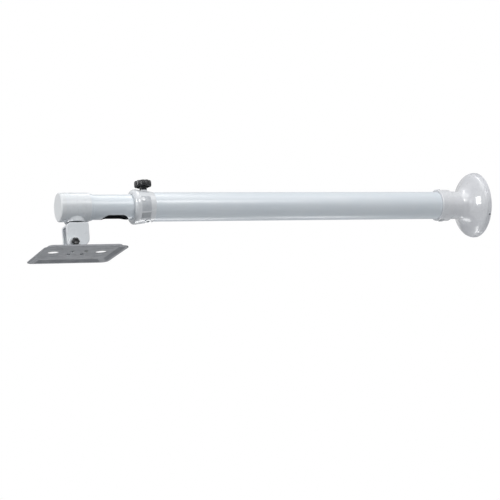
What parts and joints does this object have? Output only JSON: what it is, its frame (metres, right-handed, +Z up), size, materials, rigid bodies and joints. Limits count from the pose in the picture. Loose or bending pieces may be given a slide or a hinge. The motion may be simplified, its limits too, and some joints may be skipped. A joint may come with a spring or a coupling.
{
  "type": "projector mount",
  "caption": "Telescopic wall arm with a bell flange, a knob clamp, and a pan, tilt and roll head that carries a slotted projector plate.",
  "frame": {"origin": "centre of the wall bolt circle, on the wall face", "axes": "+X into the wall, +Z up, the arm reaches along -X, the side seen in the picture is -Y"},
  "size_m": [1.361, 0.208, 0.227],
  "materials": {
    "white_casting": "gloss white powder coat on cast aluminium",
    "white_tube": "gloss white powder coat on steel tube",
    "white_cap": "moulded white plastic",
    "zinc_steel": "zinc plated",
    "nylon": "natural nylon",
    "brass": "turned brass",
    "black_knob": "moulded black plastic",
    "black_rubber": "moulded rubber",
    "black_friction": "black acetal",
    "grey_plate": "grey powder coat on pressed steel"
  },
  "bodies": {
    "arm": {"wall_plate": "zinc_steel", "bell_flange": "white_casting", "rim_screws": "zinc_steel", "tube_screws": "zinc_steel", "outer_tube": "white_tube", "clamp_collar": "white_casting", "collar_bush": "nylon", "collar_screws": "zinc_steel", "collar_plug": "white_cap", "thread_insert": "brass"},
    "inner_arm": {"inner_tube": "white_tube", "slot_grommet": "black_rubber", "glide_ring": "nylon", "stop_ring": "white_tube"},
    "head": {"head_sleeve": "white_casting", "end_cap": "white_cap", "roll_screws": "zinc_steel", "pan_bolt": "zinc_steel", "pan_head_washer": "zinc_steel", "friction_washer": "black_friction", "pan_under_washer": "zinc_steel", "pan_nut": "zinc_steel"},
    "yoke": {"yoke": "white_casting", "tilt_bolt": "zinc_steel", "tilt_washer": "zinc_steel", "tilt_discs": "black_friction"},
    "foot": {"foot": "white_casting", "adapter_plate": "grey_plate", "plate_screws": "zinc_steel"},
    "lock_pad": {"lock_pad": "nylon"},
    "lock_knob": {"lock_stud": "zinc_steel", "lock_knob": "black_knob"},
    "clamp_pad": {"pressure_pad": "nylon"},
    "clamp_knob": {"clamp_stud": "zinc_steel", "clamp_knob": "black_knob"}
  },
  "joints": [
    {"name": "arm_slide", "type": "slide", "parent": "arm", "child": "inner_arm", "axis": [-1, 0, 0], "range_m": [-0.1, 0.14]},
    {"name": "head_roll", "type": "hinge", "parent": "inner_arm", "child": "head", "pos_m": [-1.207, 0, 0], "axis": [1, 0, 0], "range_deg": [-10, 10]},
    {"name": "head_pan", "type": "hinge", "parent": "head", "child": "yoke", "pos_m": [-1.247, 0, -0.046], "axis": [0, 0, 1], "continuous": true},
    {"name": "head_tilt", "type": "hinge", "parent": "yoke", "child": "foot", "pos_m": [-1.247, 0, -0.086], "axis": [0, 1, 0], "range_deg": [-15, 15]},
    {"name": "clamp_travel", "type": "slide", "parent": "arm", "child": "clamp_pad", "axis": [0, 0, 1], "range_m": [0, 0.0031]},
    {"name": "clamp_turn", "type": "hinge", "parent": "clamp_pad", "child": "clamp_knob", "pos_m": [-1.046, 0, 0.0463], "axis": [0, 0, 1], "range_deg": [0, 720]},
    {"name": "lock_travel", "type": "slide", "parent": "foot", "child": "lock_pad", "axis": [0, -1, 0], "range_m": [0, 0.0021]},
    {"name": "lock_turn", "type": "hinge", "parent": "lock_pad", "child": "lock_knob", "pos_m": [-1.263, -0.025, -0.103], "axis": [0, -1, 0], "range_deg": [0, 720]}
  ],
  "couplings": [
    {"joint": "clamp_travel", "follows": "clamp_turn", "m_per_rad": 0.00023873},
    {"joint": "lock_travel", "follows": "lock_turn", "m_per_rad": 0.00015915}
  ]
}
